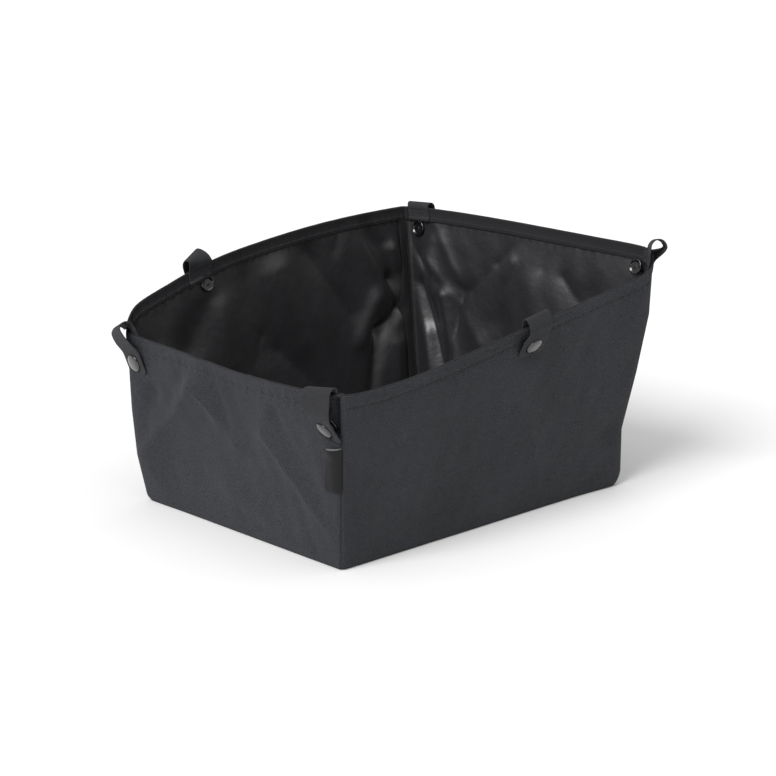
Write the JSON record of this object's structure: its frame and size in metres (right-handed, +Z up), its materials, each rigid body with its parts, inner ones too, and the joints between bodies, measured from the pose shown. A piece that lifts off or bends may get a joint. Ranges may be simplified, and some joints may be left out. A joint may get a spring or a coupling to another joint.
{
  "type": "handlebar basket",
  "caption": "Soft fabric liner basket with a rim that slopes from end to end, held over a carrier's rim wire by snap-closed strap loops.",
  "frame": {"origin": "on the ground, at the centre of the base panel", "axes": "+X along the basket towards its high end, +Y towards the back wall, +Z up"},
  "size_m": [0.3787, 0.3038, 0.2182],
  "materials": {
    "shell_fabric": "matte coated plain weave outside, smooth satin coating inside",
    "binding_tape": "matte woven tape",
    "strap_fabric": "matte webbing",
    "snap_plastic": "gloss black",
    "label_tape": "fine woven satin"
  },
  "bodies": {
    "shell": {"front_panel": "shell_fabric", "back_panel": "shell_fabric", "low_end_panel": "shell_fabric", "high_end_panel": "shell_fabric", "base_panel": "shell_fabric", "rim_tape": "binding_tape", "base_binding": "binding_tape", "side_label": "label_tape", "corner_binding_front_low": "binding_tape", "corner_binding_front_high": "binding_tape", "corner_binding_back_low": "binding_tape", "corner_binding_back_high": "binding_tape", "strap_root_front": "strap_fabric", "strap_root_back": "strap_fabric", "strap_root_low_front": "strap_fabric", "strap_root_low_back": "strap_fabric", "strap_root_high_front": "strap_fabric", "strap_root_high_back": "strap_fabric", "snap_stud_front": "snap_plastic", "snap_stud_back": "snap_plastic", "snap_stud_low_front": "snap_plastic", "snap_stud_low_back": "snap_plastic", "snap_stud_high_front": "snap_plastic", "snap_stud_high_back": "snap_plastic", "snap_post_front": "snap_plastic", "snap_post_back": "snap_plastic", "snap_post_low_front": "snap_plastic", "snap_post_low_back": "snap_plastic", "snap_post_high_front": "snap_plastic", "snap_post_high_back": "snap_plastic"},
    "flap_front": {"strap_flap_front": "strap_fabric", "snap_cap_front": "snap_plastic", "snap_socket_front": "snap_plastic"},
    "flap_back": {"strap_flap_back": "strap_fabric", "snap_cap_back": "snap_plastic", "snap_socket_back": "snap_plastic"},
    "flap_low_front": {"strap_flap_low_front": "strap_fabric", "snap_cap_low_front": "snap_plastic", "snap_socket_low_front": "snap_plastic"},
    "flap_low_back": {"strap_flap_low_back": "strap_fabric", "snap_cap_low_back": "snap_plastic", "snap_socket_low_back": "snap_plastic"},
    "flap_high_front": {"strap_flap_high_front": "strap_fabric", "snap_cap_high_front": "snap_plastic", "snap_socket_high_front": "snap_plastic"},
    "flap_high_back": {"strap_flap_high_back": "strap_fabric", "snap_cap_high_back": "snap_plastic", "snap_socket_high_back": "snap_plastic"}
  },
  "joints": [
    {"name": "flap_front_hinge", "type": "hinge", "parent": "shell", "child": "flap_front", "pos_m": [0.02645, -0.14433, 0.17822], "axis": [-0.9875, 0.014, -0.1567], "range_deg": [0, 150]},
    {"name": "flap_back_hinge", "type": "hinge", "parent": "shell", "child": "flap_back", "pos_m": [-0.08691, 0.14307, 0.19842], "axis": [0.9747, 0.0529, 0.2174], "range_deg": [0, 150]},
    {"name": "flap_low_front_hinge", "type": "hinge", "parent": "shell", "child": "flap_low_front", "pos_m": [-0.17742, -0.1161, 0.15074], "axis": [0.0254, 0.9941, -0.1054], "range_deg": [0, 150]},
    {"name": "flap_low_back_hinge", "type": "hinge", "parent": "shell", "child": "flap_low_back", "pos_m": [-0.17355, 0.108, 0.15426], "axis": [-0.0004, 0.9497, 0.3132], "range_deg": [0, 150]},
    {"name": "flap_high_front_hinge", "type": "hinge", "parent": "shell", "child": "flap_high_front", "pos_m": [0.18499, -0.1263, 0.21628], "axis": [0.033, -0.9892, -0.143], "range_deg": [0, 150]},
    {"name": "flap_high_back_hinge", "type": "hinge", "parent": "shell", "child": "flap_high_back", "pos_m": [0.1724, 0.13247, 0.21294], "axis": [0.0481, -0.9969, 0.0627], "range_deg": [0, 150]}
  ]
}
